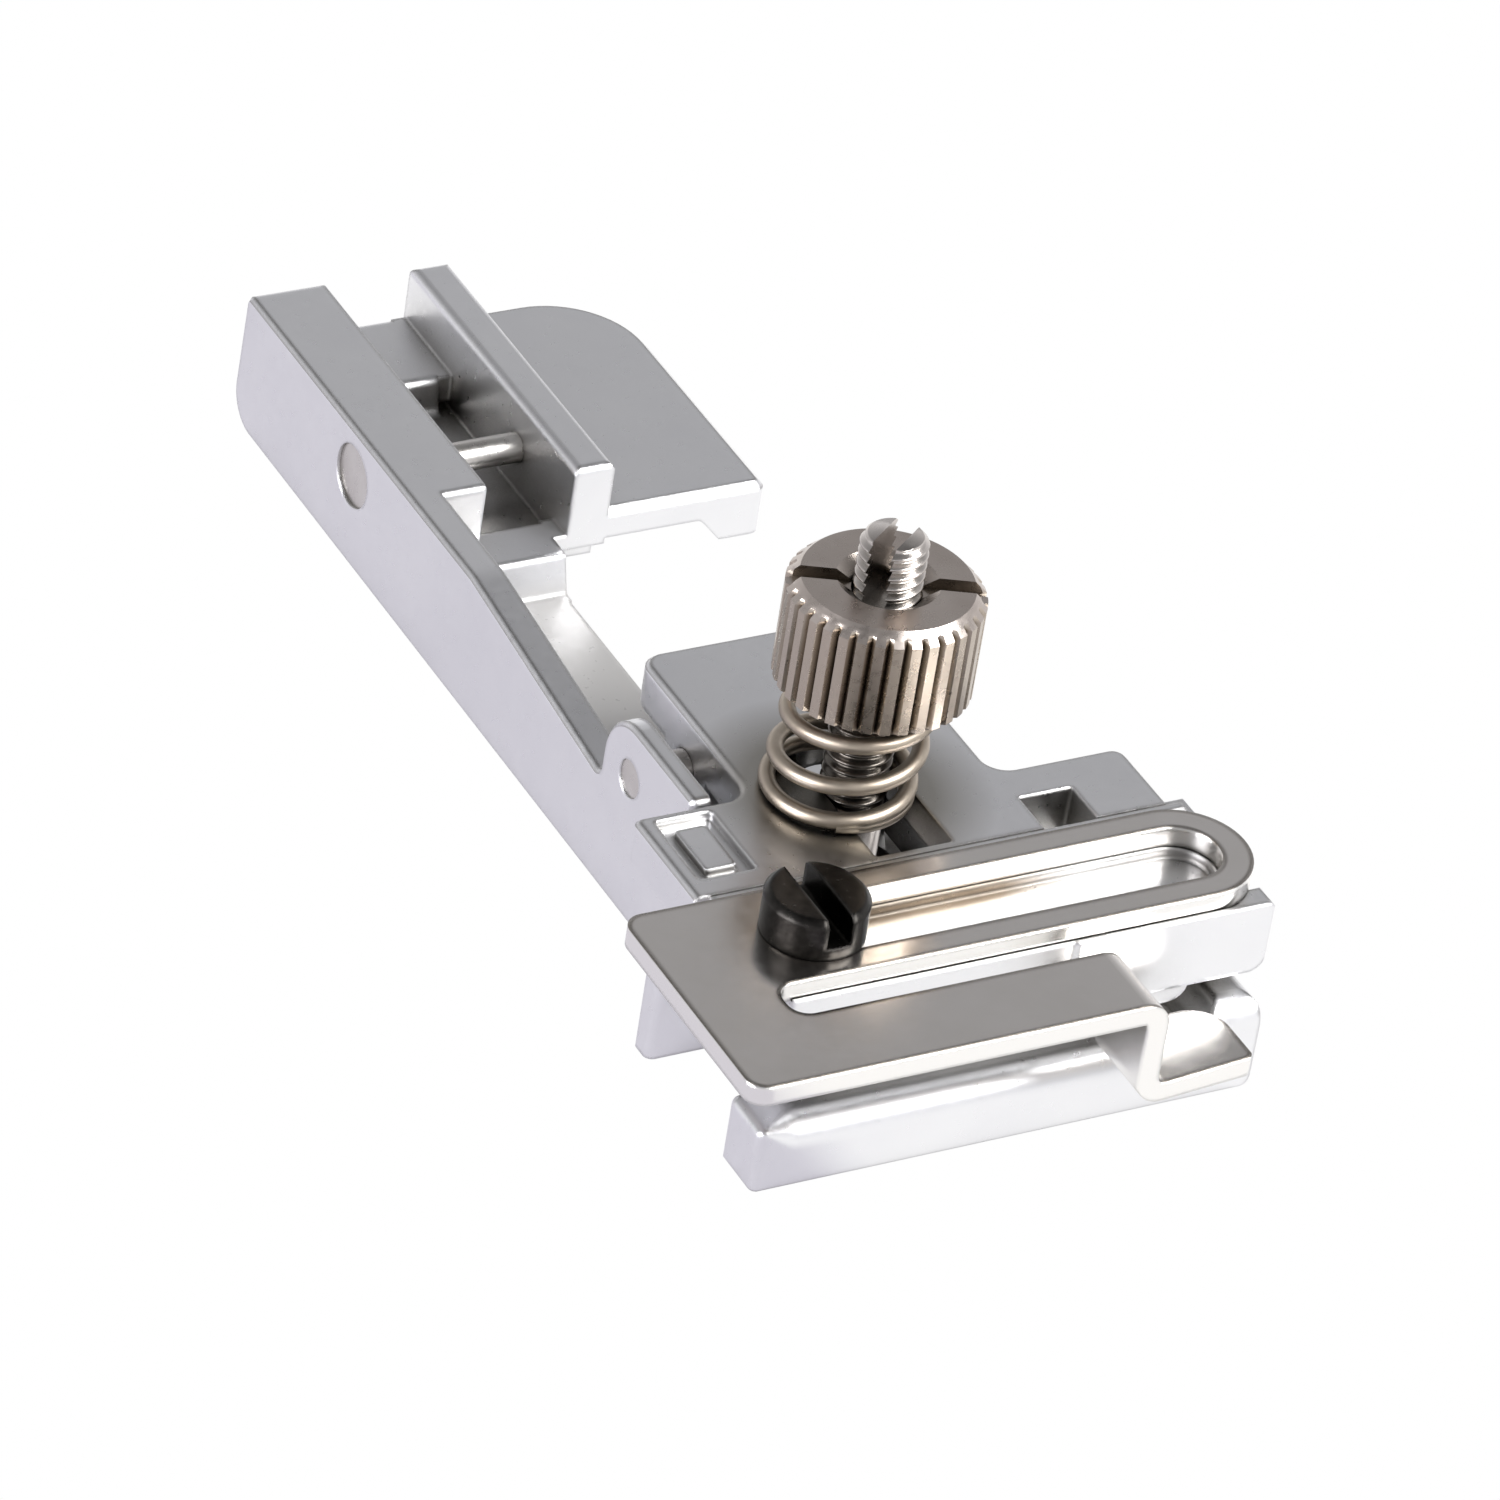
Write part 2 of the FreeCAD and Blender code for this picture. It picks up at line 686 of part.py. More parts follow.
def guide_plate():
    """Sheet guide: slotted arm, front strip beside an open notch, bend and low flange."""
    flat = plan_prism([
        (guide_left, guide_rear_y, guide_round),
        (arm_right, guide_rear_y, arm_half - 0.01),
        (arm_right, arm_front_y, arm_half - 0.01),
        (notch_left, arm_front_y, 0.9),
        (notch_left, strip_rear_y, 0.9),
        (strip_bend_x - 2, strip_rear_y, 0),
        (strip_bend_x - 2, guide_front_y, 0),
        (guide_left, guide_front_y, guide_round),
    ], (guide_bottom, guide_top))
    strip = front_prism([
        (strip_bend_x - 2.5, guide_top, 0),
        (strip_bend_x, guide_top, bend_round),
        (strip_bend_x, flange_top, 0.4),
        (flange_right, flange_top + flange_rise, 0),
        (flange_right, flange_top + flange_rise - sheet, 0),
        (strip_bend_x - sheet, flange_top - sheet - 0.05, bend_round),
        (strip_bend_x - sheet, guide_bottom, 0.25),
        (strip_bend_x - 2.5, guide_bottom, 0),
    ], (guide_front_y, strip_rear_y))
    strip = strip.common(plan_prism([
        (0, guide_front_y, 0),
        (flange_right, guide_front_y, 0.3),
        (flange_right, strip_rear_y, flange_round),
        (0, strip_rear_y, 0),
    ], (0, 20)))
    plate = joined([flat, strip])
    return plate.cut(slot_solid(slot_left_x, slot_right_x, slot_half, (0, 20)))


def guide_screw():
    """Slotted cheese-head screw."""
    top = screw_seat + screw_head_height
    head = turned([
        (0, screw_seat),
        (screw_head_radius, screw_seat),
        (screw_head_radius, top - 0.25),
        (screw_head_radius - 0.25, top),
        (0, top),
    ])
    shank = rod(screw_radius, at(0, 0, shelf_bottom + 0.2), at(0, 0, screw_seat + 0.2))
    screw = joined([head, shank])
    slot = box((-screw_slot_width / 2, screw_slot_width / 2), (-5, 5), (top - screw_slot_depth, top + 1))
    screw = screw.cut(slot)
    screw.translate(at(screw_x, slot_y, 0))
    return screw


def save(name, shape):
    shape = shape.copy()
    shape.translate(at(-channel_middle, 0, 0))
    solid = shape.Solids[0] if len(shape.Solids) == 1 else shape
    solid.exportStep("parts/" + name + ".step")
    print(name, len(shape.Solids), shape.isValid(), round(shape.Volume, 2))


save("foot_frame", foot_frame())
save("snap_bar", snap_bar())
save("hinge_pin", hinge_pin())
save("tension_stud", tension_stud())
save("pressure_lever", pressure_lever())
save("guide_plate", guide_plate())
save("guide_screw", guide_screw())
save("compression_spring", compression_spring())
save("thumb_nut", thumb_nut())
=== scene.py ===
import json
import math
import bpy
from mathutils import Matrix, Vector


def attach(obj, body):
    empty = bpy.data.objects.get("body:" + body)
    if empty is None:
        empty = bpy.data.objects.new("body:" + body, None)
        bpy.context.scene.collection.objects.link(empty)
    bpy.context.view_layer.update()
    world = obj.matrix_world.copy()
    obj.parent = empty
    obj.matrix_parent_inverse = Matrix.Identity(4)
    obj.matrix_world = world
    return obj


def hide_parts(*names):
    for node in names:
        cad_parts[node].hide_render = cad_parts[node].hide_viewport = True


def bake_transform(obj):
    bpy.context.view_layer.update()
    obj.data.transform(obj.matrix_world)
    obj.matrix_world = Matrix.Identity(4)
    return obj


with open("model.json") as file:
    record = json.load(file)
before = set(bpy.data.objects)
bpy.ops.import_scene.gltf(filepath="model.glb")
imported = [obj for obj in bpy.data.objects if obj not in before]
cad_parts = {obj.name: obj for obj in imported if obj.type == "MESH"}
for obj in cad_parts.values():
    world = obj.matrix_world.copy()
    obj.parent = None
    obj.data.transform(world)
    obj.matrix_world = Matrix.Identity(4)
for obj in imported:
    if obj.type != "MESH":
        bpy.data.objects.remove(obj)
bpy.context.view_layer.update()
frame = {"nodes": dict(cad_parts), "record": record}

# Axis of the stud, about which the nut turns
joints = {joint["name"]: joint for joint in frame["record"]["behaviour"]["joints"]}
STUD_AXIS = tuple(joints["nut_turn"]["pos_m"][:2])

# Camera fitted to the photo's straight edges: place in metres, angles in degrees, lens in millimetres
CAMERA_PLACE = (-0.174505, -0.29693, 0.23218)
CAMERA_AZIMUTH = 32.8355
CAMERA_ELEVATION = 35.0295
CAMERA_ROLL = 9.3015
CAMERA_LENS = 221.66
CAMERA_SENSOR = 36

WHITE = (1, 1, 1, 1)

# Two softboxes, in metres and watts, aimed at the middle of the foot
LIGHT_TARGET = (0, -0.02, 0)
KEY_LIGHT = {"place": (0.25, -0.335, 0.375), "size": (0.40, 0.25), "power": 3.6, "colour": (1.0, 1.0, 1.0)}
LEFT_LIGHT = {"place": (-0.50, -0.05, 0.16), "size": (0.35, 0.25), "power": 2.5, "colour": (0.96, 0.96, 1.0)}

# Light that comes back down from the room, from the horizon up to straight overhead
ROOM_LEVELS = [(0.0, 1.0), (0.3, 0.68), (0.5, 0.45), (0.62, 0.40), (0.75, 0.27), (0.88, 0.17), (1.0, 0.16)]
ROOM_BLUE = 1.02

# Paper that the foot lies on, in metres
FLOOR_HALF = 1.2
FLOOR_DROP = 0.00005
FLOOR_COLOUR = (0.86, 0.86, 0.87, 1)
FLOOR_ROUGH = 0.9

# Painted reflection: the floor glows for glossy rays, lavender to the left of the foot, near white to the
# right
FLOOR_CHANGE = (-0.0075, -0.0035)
FLOOR_IN_METAL = [
    (0.0, (0.71, 0.69, 0.75, 1)),
    (0.3, (0.72, 0.70, 0.76, 1)),
    (0.75, (0.98, 0.975, 0.99, 1)),
    (1.0, (1.08, 1.075, 1.07, 1)),
]

# Painted shade on that glowing floor: how bright it is, from places that the metal closes in to open ones
FLOOR_SHADE = [(0.0, 0.03), (0.3, 0.5), (0.6, 1.0)]
FLOOR_SHADE_REACH = 0.003

# Painted shade: how much of its colour metal keeps where its neighbours close it in
CLOSED_IN_PAINTED_SHADE = [
    (0.0, (0.04, 0.036, 0.03, 1)),
    (0.22, (0.20, 0.19, 0.17, 1)),
    (0.45, (0.66, 0.65, 0.63, 1)),
    (0.65, (0.95, 0.95, 0.94, 1)),
    (0.8, WHITE),
]

# Stops of a noise between which a metal goes from its first tone to its second one
GRAIN_STOPS = (0.3, 0.7)

# Height of the fine bumps on metal, in metres
BUMP_HEIGHT = 0.00002

# Upward or downward part of a normal where a face begins to count as upright, and where it does in full
UPRIGHT_FADE = (0.6, 0.3)

# Castings in satin plate: tones, roughness, radius of rounded edges and reach of painted closed-in shade
CAST_TONES = ((0.815, 0.815, 0.835, 1), (0.845, 0.845, 0.86, 1))
CAST_ROUGH = (0.27, 0.36)
CAST_EDGE = 0.0003
CAST_REACH = 0.005
# Painted shade: darker tone in the groove by the screw
CAST_GROOVE_PAINTED_SHADE = (0.42, 0.37, 0.32, 1)
# Painted shade and reflection of the nut: darker tone on the deck under it
NUT_PAINTED_SHADE_TONE = (0.40, 0.385, 0.36, 1)
CAST_ON_STRIP = (0.54, 0.53, 0.52, 1)
STRIP_METALLIC = 0.15

# Soft-edged places on the castings: middle and half sizes, in metres
# Beside the ear and on the base strip the painted closed-in shade is left out
BESIDE_EAR = ((-0.0042, -0.028, 0.0075), (0.0026, 0.011, 0.006))
BASE_STRIP = ((0.0006, -0.013, 0.001), (0.0065, 0.009, 0.0018))
GROOVE_BY_SCREW_PAINTED_SHADE = ((-0.0003, -0.0402, 0.0085), (0.0085, 0.0022, 0.002))
NUT_PAINTED_SHADE_PLACE = ((0.0005, -0.0331, 0.0092), (0.0068, 0.0068, 0.002))

# Share of its half size within which such a place holds in full
SOFT_FROM = 0.6

# Guide plate in polished nickel, with painted light: a lighter tone where it stands upright
SHEET_TONES = ((0.725, 0.695, 0.665, 1), (0.76, 0.73, 0.705, 1))
SHEET_UPRIGHT_PAINTED_LIGHT = (0.90, 0.885, 0.865, 1)
SHEET_ROUGH = (0.16, 0.24)
SHEET_EDGE = 0.00034
SHEET_LINE_EDGE = 0.0004
SHEET_REACH = 0.0035

# Painted reflection: dark line that a level face's rounded edge mirrors from overhead, by how far the face
# has turned
CAST_PAINTED_EDGE_LINE = [
    (0.75, WHITE),
    (0.86, (0.45, 0.44, 0.42, 1)),
    (0.95, (0.36, 0.35, 0.33, 1)),
    (0.985, (0.6, 0.59, 0.58, 1)),
    (1.0, WHITE),
]
SHEET_PAINTED_EDGE_LINE = [
    (0.70, (0.45, 0.43, 0.40, 1)),
    (0.80, (0.16, 0.145, 0.125, 1)),
    (0.96, (0.16, 0.145, 0.125, 1)),
    (0.99, (0.7, 0.68, 0.66, 1)),
    (1.0, WHITE),
]

# Lock screw in black oxide
OXIDE_TONES = ((0.030, 0.028, 0.026, 1), (0.055, 0.052, 0.048, 1))
OXIDE_ROUGH = (0.18, 0.28)
OXIDE_EDGE = 0.00028

# Reach of painted closed-in shade on small steel pieces
STEEL_REACH = 0.002

# Soft-edged place inside the coil, with painted shade that makes the stud darker, and its tone there
COIL_PAINTED_SHADE_PLACE = ((*STUD_AXIS, 0.0115), (0.004, 0.004, 0.0045))
COIL_PAINTED_SHADE_TONE = (0.16, 0.145, 0.13, 1)

# Metal that closes the view down through the lever's slot, in metres: x, y and z ranges
LEVER_WEB = ((0.006275, 0.007525), (-0.0324, -0.0276), (0.0022, 0.0066))
BASE_CORNER = ((0.0048, 0.0075), (-0.0245, -0.0219), (0.00002, 0.00158))
BLOCK_SHARP = 30

# Stud with its thread, in metres: the CAD stud's sizes
STUD_RADIUS = 0.001475
STUD_FOOT = 0.0003
STUD_TOP = 0.0217
STUD_TIP = 0.0003
STUD_SIDES = 72
STUD_SHARP = 50
STUD_SLOT = {"width": 0.00105, "depth": 0.003, "angle": 35.0, "half_length": 0.003}
THREAD_PITCH = 0.0005
THREAD_DEPTH = 0.00028
THREAD_FOOT = 0.008
THREAD_STEPS = 12

# Steepness of the thread's flanks: 1 would be a sharp V, and more leaves flat crests and roots
THREAD_STEEPNESS = 1.3

# Spring wire, in metres: a smooth coil in the CAD spring's place, which leans as in the photo
COIL_MIDDLE = (0.000495, -0.03309, 0.011)
COIL_LEAN = (0.12, -0.025)
COIL_RADIUS = 0.002967
WIRE_RADIUS = 0.00037
WIRE_SIDES = 20
WIRE_SHARP = 60
COIL_FOOT = 0.00902
COIL_TOP = 0.0142
COIL_START = -118.0
COIL_STEPS = 72

# Turns from the coil's foot with the height of the wire's middle there, and how far round it is smoothed
COIL_HEIGHTS = [
    (0.0, 0.00935),
    (0.6, 0.00939),
    (1.0, 0.00947),
    (2.0, 0.01125),
    (3.0, 0.01339),
    (3.35, 0.01383),
    (3.7, 0.01388),
]
COIL_SMOOTHING = (-0.16, -0.08, 0.0, 0.08, 0.16)

# Nut, in metres: the CAD nut's sizes, with the narrow grooves that a knurling wheel leaves
NUT_RADIUS = 0.00425
NUT_BORE = 0.001505
NUT_FOOT = 0.01422
NUT_TOP = 0.01942
NUT_CHAMFER = 0.00055
NUT_FOOT_STEPS = 4
NUT_TOP_STEPS = 8
NUT_RECESS_RADIUS = 0.0022
NUT_RECESS_DEPTH = 0.0005
NUT_RIBS = 34
NUT_GROOVE_DEPTH = 0.00033
NUT_GROOVE_SHARE = 0.44
NUT_SHARP = 18
NUT_SLOT = {"width": 0.00085, "depth": 0.00055, "angle": -26.0, "half_length": 0.006}

# How far a slot's cutter stands above the end that it cuts
SLOT_CLEARANCE = 0.001

# Walls of a box between the corners that box_points gives
BOX_WALLS = [(0, 2, 3, 1), (4, 5, 7, 6), (0, 1, 5, 4), (1, 3, 7, 5), (3, 2, 6, 7), (2, 0, 4, 6)]


def add_camera():
    azimuth = math.radians(CAMERA_AZIMUTH)
    elevation = math.radians(CAMERA_ELEVATION)
    roll = math.radians(CAMERA_ROLL)
    forward = Vector((
        math.sin(azimuth) * math.cos(elevation),
        math.cos(azimuth) * math.cos(elevation),
        -math.sin(elevation),
    ))
    level = Vector((math.cos(azimuth), -math.sin(azimuth), 0))
    upright = level.cross(forward)
    right = math.cos(roll) * level + math.sin(roll) * upright
    up = math.cos(roll) * upright - math.sin(roll) * level
    data = bpy.data.cameras.new("camera")
    data.sensor_width = CAMERA_SENSOR
    data.lens = CAMERA_LENS
    data.clip_start = 0.01
    data.clip_end = 10
    camera = bpy.data.objects.new("camera", data)
    camera.matrix_world = Matrix((
        (right.x, up.x, -forward.x, CAMERA_PLACE[0]),
        (right.y, up.y, -forward.y, CAMERA_PLACE[1]),
        (right.z, up.z, -forward.z, CAMERA_PLACE[2]),
        (0, 0, 0, 1),
    ))
    bpy.context.scene.collection.objects.link(camera)
    bpy.context.scene.camera = camera


def add_piece(name, points, faces):
    mesh = bpy.data.meshes.new(name)
    mesh.from_pydata(points, [], faces)
    piece = bpy.data.objects.new(name, mesh)
    bpy.context.scene.collection.objects.link(piece)
    return piece


def smooth(piece, sharp):
    """Shades a piece smoothly, apart from edges that turn by more than an angle in degrees."""
    mesh = piece.data
    mesh.polygons.foreach_set("use_smooth", [True] * len(mesh.polygons))
    mesh.set_sharp_from_angle(angle=math.radians(sharp))


def box_points(across, along, up):
    return [(x, y, z) for z in up for y in along for x in across]


def ring_point(middle, radius, angle, z):
    return (middle[0] + radius * math.cos(angle), middle[1] + radius * math.sin(angle), z)


def ring_faces(rings, sides, closed=False):
    """Faces of a tube made of rings, which has two flat ends or, closed, runs back into its first ring."""
    faces = []
    if not closed:
        faces.append(tuple(range(sides - 1, -1, -1)))
        faces.append(tuple(range((rings - 1) * sides, rings * sides)))
    for ring in range(rings if closed else rings - 1):
        here = ring * sides
        there = (ring + 1) % rings * sides
        for side in range(sides):
            after = (side + 1) % sides
            faces.append((here + side, here + after, there + after, there + side))
    return faces


def cut_slot(piece, top, width, depth, angle, half_length):
    """Cuts a straight screwdriver slot across the top of a piece that is turned about the stud's axis."""
    ranges = ((-half_length, half_length), (-width / 2, width / 2), (-depth, SLOT_CLEARANCE))
    cutter = add_piece("slot_cutter", box_points(*ranges), BOX_WALLS)
    cutter.location = (*STUD_AXIS, top)
    cutter.rotation_euler = (0, 0, math.radians(angle))
    cut = piece.modifiers.new("slot", "BOOLEAN")
    cut.object = cutter
    cut.operation = "DIFFERENCE"
    cut.solver = "EXACT"
    bpy.context.view_layer.update()
    cut_piece = piece.evaluated_get(bpy.context.evaluated_depsgraph_get())
    mesh = bpy.data.meshes.new_from_object(cut_piece)
    piece.modifiers.remove(cut)
    piece.data = mesh
    bpy.data.objects.remove(cutter)


def cast_block(name, ranges, body):
    """Plain block of the casting, carried by a body."""
    block = add_piece(name, box_points(*ranges), BOX_WALLS)
    smooth(block, BLOCK_SHARP)
    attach(block, body)
    return block


def thread_depth(turn):
    """0 on the crest and 1 in the root of a thread, for a position counted in turns."""
    rise = abs((turn % 1.0) * 2 - 1)
    return 1 - min(max(0.5 + THREAD_STEEPNESS * (rise - 0.5), 0.0), 1.0)


def threaded_stud():
    step = THREAD_PITCH / THREAD_STEPS
    steps = math.ceil((STUD_TOP - THREAD_FOOT) / step)
    heights = [STUD_FOOT, *(THREAD_FOOT + step * index for index in range(steps)), STUD_TOP]
    points = []
    for z in heights:
        run_in = min(1.0, max(0.0, (z - THREAD_FOOT) / THREAD_PITCH))
        limit = STUD_RADIUS - max(0.0, z - (STUD_TOP - STUD_TIP))
        for side in range(STUD_SIDES):
            share = side / STUD_SIDES
            groove = THREAD_DEPTH * run_in * thread_depth(z / THREAD_PITCH - share)
            radius = min(STUD_RADIUS - groove, limit)
            points.append(ring_point(STUD_AXIS, radius, 2 * math.pi * share, z))
    stud = add_piece("threaded_stud", points, ring_faces(len(heights), STUD_SIDES))
    cut_slot(stud, STUD_TOP, **STUD_SLOT)
    smooth(stud, STUD_SHARP)
    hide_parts("tension_stud")
    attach(stud, "foot")
    return stud


def coil_height(turn):
    """Height of the wire's middle, for a position counted in turns from the coil's foot."""
    for (start, below), (end, above) in zip(COIL_HEIGHTS, COIL_HEIGHTS[1:]):
        if turn <= end:
            break
    return below + (above - below) * (turn - start) / (end - start)


def wire_coil():
    turns = COIL_HEIGHTS[-1][0]
    rings = int(turns * COIL_STEPS) + 1
    points = []
    for index in range(rings):
        turn = index / COIL_STEPS
        nearby = [min(max(turn + shift, 0.0), turns) for shift in COIL_SMOOTHING]
        height = sum(coil_height(value) for value in nearby) / len(nearby)
        lift = height - COIL_MIDDLE[2]
        middle = [at + lean * lift for at, lean in zip(COIL_MIDDLE, COIL_LEAN)]
        angle = math.radians(COIL_START) + 2 * math.pi * turn
        for side in range(WIRE_SIDES):
            around = 2 * math.pi * side / WIRE_SIDES
            radius = COIL_RADIUS + WIRE_RADIUS * math.cos(around)
            z = min(max(height + WIRE_RADIUS * math.sin(around), COIL_FOOT), COIL_TOP)
            points.append(ring_point(middle, radius, angle, z))
    coil = add_piece("spring_coil", points, ring_faces(rings, WIRE_SIDES))
    smooth(coil, WIRE_SHARP)
    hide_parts("compression_spring")
    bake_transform(coil)
    return coil


def nut_outline():
    """Heights above the nut's foot with the radius there, from the bore round the outside and back."""
    height = NUT_TOP - NUT_FOOT
    outline = [(0.0, NUT_BORE), (0.0, NUT_RADIUS - NUT_CHAMFER)]
    for step in range(1, NUT_FOOT_STEPS + 1):
        share = step / NUT_FOOT_STEPS
        outline.append((NUT_CHAMFER / 2 * share, NUT_RADIUS - NUT_CHAMFER * (1 - share)))
    for step in range(NUT_TOP_STEPS + 1):
        share = step / NUT_TOP_STEPS
        outline.append((height - NUT_CHAMFER * (1 - share), NUT_RADIUS - NUT_CHAMFER * share))
    outline.append((height, NUT_RECESS_RADIUS))
    outline.append((height - NUT_RECESS_DEPTH, NUT_BORE))
    return outline


def knurled_nut():
    outline = nut_outline()
    shares = (0.0, NUT_GROOVE_SHARE / 2, 0.5, 1 - NUT_GROOVE_SHARE / 2)
    sides = NUT_RIBS * len(shares)
    points = []
    for z, limit in outline:
        for rib in range(NUT_RIBS):
            for share in shares:
                knurl = NUT_RADIUS - (NUT_GROOVE_DEPTH if share == 0.0 else 0.0)
                angle = 2 * math.pi * (rib + share) / NUT_RIBS
                points.append(ring_point(STUD_AXIS, min(knurl, limit), angle, NUT_FOOT + z))
    nut = add_piece("knurled_nut", points, ring_faces(len(outline), sides, closed=True))
    cut_slot(nut, NUT_TOP, **NUT_SLOT)
    smooth(nut, NUT_SHARP)
    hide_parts("thumb_nut")
    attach(nut, "nut")
    return nut


class Nodes:
    """A node tree built step by step."""

    def __init__(self, tree):
        self.tree = tree

    def add(self, kind, **settings):
        node = self.tree.nodes.new(kind)
        for key, value in settings.items():
            setattr(node, key, value)
        return node

    def link(self, out, into):
        self.tree.links.new(out, into)

    def ramp(self, value, stops):
        node = self.add("ShaderNodeValToRGB")
        while len(node.color_ramp.elements) < len(stops):
            node.color_ramp.elements.new(0.5)
        for element, (place, colour) in zip(node.color_ramp.elements, stops):
            element.position = place
            element.color = colour if isinstance(colour, tuple) else (colour, colour, colour, 1)
        self.link(value, node.inputs["Fac"])
        return node.outputs["Color"]

    def fade(self, value, start, end):
        """0 where a value is at the start or before it, and 1 at the end or past it."""
        node = self.add("ShaderNodeMapRange")
        node.inputs["From Min"].default_value = start
        node.inputs["From Max"].default_value = end
        self.link(value, node.inputs["Value"])
        return node.outputs["Result"]

    def mix_shaders(self, share, first, second):
        node = self.add("ShaderNodeMixShader")
        self.link(share, node.inputs["Fac"])
        self.link(first, node.inputs[1])
        self.link(second, node.inputs[2])
        return node.outputs["Shader"]


class Material(Nodes):
    """A material built step by step on its Principled shader."""

    def __init__(self, name):
        self.material = bpy.data.materials.new(name)
        self.material.use_nodes = True
        super().__init__(self.material.node_tree)
        self.shader = self.tree.nodes["Principled BSDF"]

    def position(self):
        return self.add("ShaderNodeTexCoord").outputs["Object"]

    def noise(self, scale, detail=3.0, roughness=0.5):
        node = self.add("ShaderNodeTexNoise")
        node.inputs["Scale"].default_value = scale
        node.inputs["Detail"].default_value = detail
        node.inputs["Roughness"].default_value = roughness
        self.link(self.position(), node.inputs["Vector"])
        return node.outputs["Fac"]

    def grain(self, noise, values):
        """Goes from the first value to the second one with a noise."""
        return self.ramp(noise, list(zip(GRAIN_STOPS, values)))

    def mix(self, share, first, second, blend="MIX"):
        node = self.add("ShaderNodeMix", data_type="RGBA", blend_type=blend)
        sockets = (node.inputs["Factor"], node.inputs[6], node.inputs[7])
        for value, into in zip((share, first, second), sockets):
            if isinstance(value, (float, tuple)):
                into.default_value = value
            else:
                self.link(value, into)
        return node.outputs[2]

    def near(self, place):
        """1 in a soft-edged place, and 0 away from it."""
        middle, half = place
        mapping = self.add("ShaderNodeMapping")
        mapping.inputs["Scale"].default_value = [1 / size for size in half]
        mapping.inputs["Location"].default_value = [-at / size for at, size in zip(middle, half)]
        self.link(self.position(), mapping.inputs["Vector"])
        length = self.add("ShaderNodeVectorMath", operation="LENGTH")
        self.link(mapping.outputs["Vector"], length.inputs[0])
        return self.fade(length.outputs["Value"], 1.0, SOFT_FROM)

    def upright(self):
        """1 on upright faces, and 0 on level ones."""
        split = self.add("ShaderNodeSeparateXYZ")
        self.link(self.add("ShaderNodeNewGeometry").outputs["Normal"], split.inputs["Vector"])
        size = self.add("ShaderNodeMath", operation="ABSOLUTE")
        self.link(split.outputs["Z"], size.inputs[0])
        return self.fade(size.outputs["Value"], *UPRIGHT_FADE)

    def rounded(self, edge):
        """Normal of a surface whose edges are rounded by a radius."""
        bevel = self.add("ShaderNodeBevel", samples=6)
        bevel.inputs["Radius"].default_value = edge
        return bevel.outputs["Normal"]

    def openness(self, reach):
        """1 on an open surface, and less where others close it in."""
        shade = self.add("ShaderNodeAmbientOcclusion", samples=8)
        shade.inputs["Distance"].default_value = reach
        return shade.outputs["AO"]

    def paint_edge_reflection(self, colour, edge, stops):
        """Colour with a painted reflection: a dark line along the edges of level faces."""
        turned = self.add("ShaderNodeVectorMath", operation="DOT_PRODUCT")
        self.link(self.rounded(edge), turned.inputs[0])
        self.link(self.add("ShaderNodeNewGeometry").outputs["Normal"], turned.inputs[1])
        line = self.mix(self.upright(), self.ramp(turned.outputs["Value"], stops), WHITE)
        return self.mix(1.0, colour, line, "MULTIPLY")

    def paint_closed_in_shade(self, colour, reach, open_place=None):
        """Colour with painted shade, darker where other metal closes the surface in."""
        closed = self.ramp(self.openness(reach), CLOSED_IN_PAINTED_SHADE)
        if open_place is not None:
            closed = self.mix(open_place, closed, WHITE)
        self.link(self.mix(1.0, colour, closed, "MULTIPLY"), self.shader.inputs["Base Color"])

    def surface(self, noise, rough, bump, edge=0.0):
        """Roughness and fine bumps that follow a noise, and edges rounded by a radius."""
        self.link(self.grain(noise, rough), self.shader.inputs["Roughness"])
        node = self.add("ShaderNodeBump")
        node.inputs["Strength"].default_value = bump
        node.inputs["Distance"].default_value = BUMP_HEIGHT
        self.link(noise, node.inputs["Height"])
        if edge > 0:
            self.link(self.rounded(edge), node.inputs["Normal"])
        self.link(node.outputs["Normal"], self.shader.inputs["Normal"])


def metal(name):
    """Material that is metal all over."""
    m = Material(name)
    m.shader.inputs["Metallic"].default_value = 1.0
    return m


def plated_casting():
    """Satin plate with painted shade in the groove by the screw, painted shade and reflection of the nut
    under it, and painted closed-in shade, and duller on the strip of the base.
    """
    m = Material("plated_casting")
    fine = m.noise(2600)
    broad = m.noise(260, detail=2)
    colour = m.paint_edge_reflection(m.grain(broad, CAST_TONES), CAST_EDGE, CAST_PAINTED_EDGE_LINE)
    # Painted shade in the groove by the screw
    colour = m.mix(m.near(GROOVE_BY_SCREW_PAINTED_SHADE), colour, CAST_GROOVE_PAINTED_SHADE)
    # Painted shade and reflection of the nut on the deck under it
    colour = m.mix(m.near(NUT_PAINTED_SHADE_PLACE), colour, NUT_PAINTED_SHADE_TONE)
    strip = m.near(BASE_STRIP)
    colour = m.mix(strip, colour, CAST_ON_STRIP)
    # Places where the painted closed-in shade is left out: beside the ear and on the base strip
    opened = m.add("ShaderNodeMath", operation="MAXIMUM")
    m.link(m.near(BESIDE_EAR), opened.inputs[0])
    m.link(strip, opened.inputs[1])
    m.paint_closed_in_shade(colour, CAST_REACH, opened.outputs["Value"])
    m.link(m.ramp(strip, [(0.0, 1.0), (1.0, STRIP_METALLIC)]), m.shader.inputs["Metallic"])
    m.surface(fine, CAST_ROUGH, bump=0.12, edge=CAST_EDGE)
    return m.material


